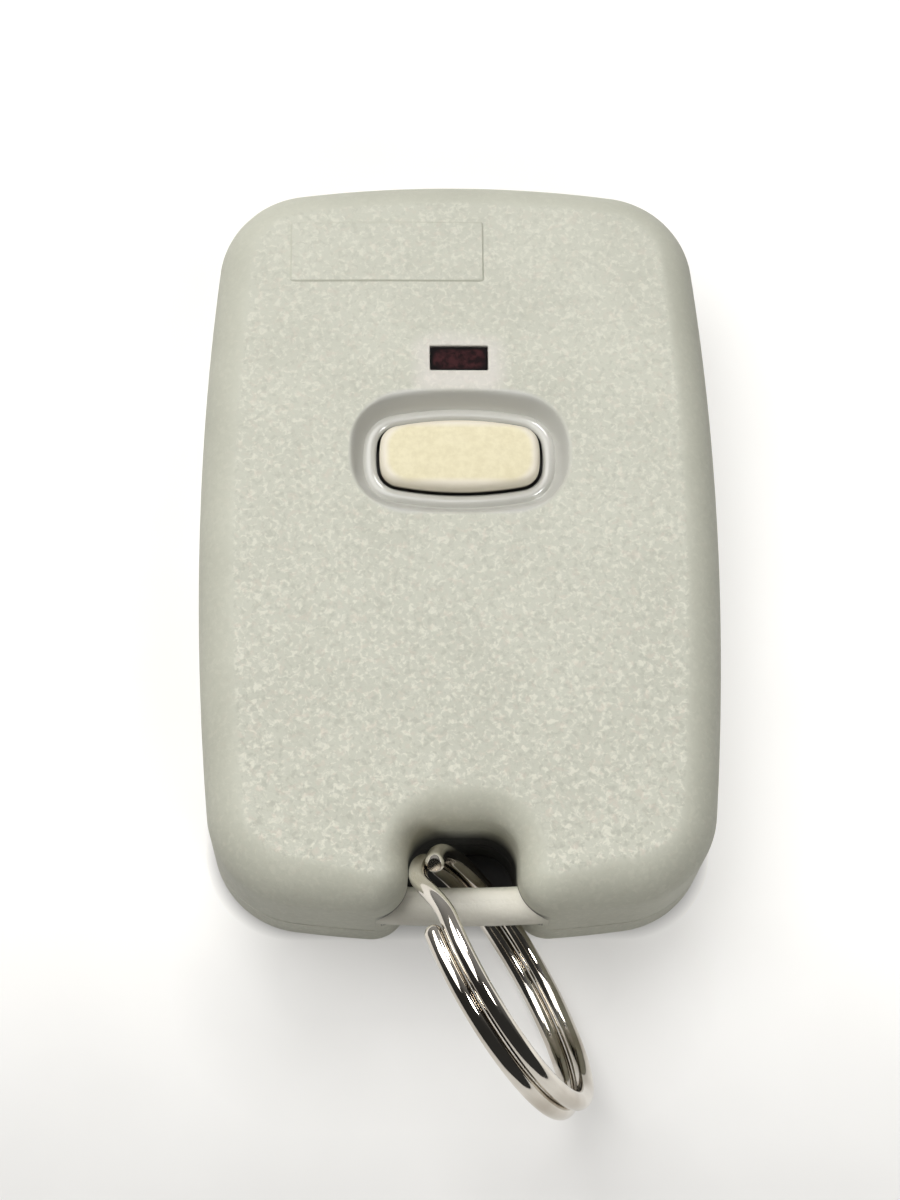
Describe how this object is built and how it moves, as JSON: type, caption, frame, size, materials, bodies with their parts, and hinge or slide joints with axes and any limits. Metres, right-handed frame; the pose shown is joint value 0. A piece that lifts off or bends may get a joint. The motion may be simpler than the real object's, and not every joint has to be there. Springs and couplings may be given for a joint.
{
  "type": "garage door remote",
  "caption": "Single-button hand transmitter with a two-part moulded case, dished button well, light window, battery, board and split key ring",
  "frame": {"origin": "middle of the flat outer face of the rear cover, on which the remote lies", "axes": "+Z out of the face with the button, +Y along the case away from the key ring, +X to the right as the button is read"},
  "size_m": [0.038, 0.0712, 0.0199],
  "materials": {
    "case_plastic": "fine spark-eroded texture, light warm grey",
    "button_plastic": "cream, satin",
    "dark_lens": "dark maroon translucent lens",
    "board_green": "solder mask",
    "lamp_clear": "clear resin",
    "black_plastic": "moulded",
    "code_plastic": "moulded blue",
    "white_plastic": "moulded white",
    "tinned_metal": "tinned",
    "tan_ceramic": "ceramic",
    "brass": "plain",
    "copper_wire": "bare wire",
    "battery_can": "plain dark sleeve",
    "contact_metal": "nickel plated spring strip",
    "screw_steel": "zinc plated",
    "ring_nickel": "nickel plated spring steel"
  },
  "bodies": {
    "remote": {"front_case": "case_plastic", "rear_cover": "case_plastic", "light_window": "dark_lens", "circuit_board": "board_green", "indicator_led": "lamp_clear", "tact_switch_body": "black_plastic", "dip_switch_body": "code_plastic", "dip_leads": "tinned_metal", "encoder_chip": "black_plastic", "encoder_leads": "tinned_metal", "transistors": "black_plastic", "resistors": "black_plastic", "capacitors": "tan_ceramic", "trimmer_body": "tan_ceramic", "antenna_loop": "copper_wire", "battery": "battery_can", "positive_contact": "contact_metal", "negative_contact": "contact_metal", "case_screw": "screw_steel"},
    "button": {"button_cap": "button_plastic", "switch_plunger": "black_plastic"},
    "rotor": {"trimmer_rotor": "brass"},
    "key_ring": {"key_ring": "ring_nickel"},
    "lever_1": {"dip_lever_1": "white_plastic"},
    "lever_2": {"dip_lever_2": "white_plastic"},
    "lever_3": {"dip_lever_3": "white_plastic"},
    "lever_4": {"dip_lever_4": "white_plastic"},
    "lever_5": {"dip_lever_5": "white_plastic"},
    "lever_6": {"dip_lever_6": "white_plastic"},
    "lever_7": {"dip_lever_7": "white_plastic"},
    "lever_8": {"dip_lever_8": "white_plastic"},
    "lever_9": {"dip_lever_9": "white_plastic"},
    "lever_10": {"dip_lever_10": "white_plastic"}
  },
  "joints": [
    {"name": "button_press", "type": "slide", "parent": "remote", "child": "button", "axis": [0, 0, -1], "range_m": [0, 0.00025], "stiffness_N_per_m": 400},
    {"name": "trimmer_turn", "type": "hinge", "parent": "remote", "child": "rotor", "pos_m": [0.0085, 0.02, 0.0044], "axis": [0, 0, 1], "continuous": true},
    {"name": "ring_swing", "type": "hinge", "parent": "remote", "child": "key_ring", "pos_m": [-0.00128, -0.02442, 0.00844], "axis": [-0.3734, 0, 0.9277], "range_deg": [-48, 0]},
    {"name": "code_1", "type": "slide", "parent": "remote", "child": "lever_1", "axis": [0, 1, 0], "range_m": [0, 0.0012]},
    {"name": "code_2", "type": "slide", "parent": "remote", "child": "lever_2", "axis": [0, 1, 0], "range_m": [0, 0.0012]},
    {"name": "code_3", "type": "slide", "parent": "remote", "child": "lever_3", "axis": [0, 1, 0], "range_m": [0, 0.0012]},
    {"name": "code_4", "type": "slide", "parent": "remote", "child": "lever_4", "axis": [0, 1, 0], "range_m": [0, 0.0012]},
    {"name": "code_5", "type": "slide", "parent": "remote", "child": "lever_5", "axis": [0, 1, 0], "range_m": [0, 0.0012]},
    {"name": "code_6", "type": "slide", "parent": "remote", "child": "lever_6", "axis": [0, 1, 0], "range_m": [0, 0.0012]},
    {"name": "code_7", "type": "slide", "parent": "remote", "child": "lever_7", "axis": [0, 1, 0], "range_m": [0, 0.0012]},
    {"name": "code_8", "type": "slide", "parent": "remote", "child": "lever_8", "axis": [0, 1, 0], "range_m": [0, 0.0012]},
    {"name": "code_9", "type": "slide", "parent": "remote", "child": "lever_9", "axis": [0, 1, 0], "range_m": [0, 0.0012]},
    {"name": "code_10", "type": "slide", "parent": "remote", "child": "lever_10", "axis": [0, 1, 0], "range_m": [0, 0.0012]}
  ]
}
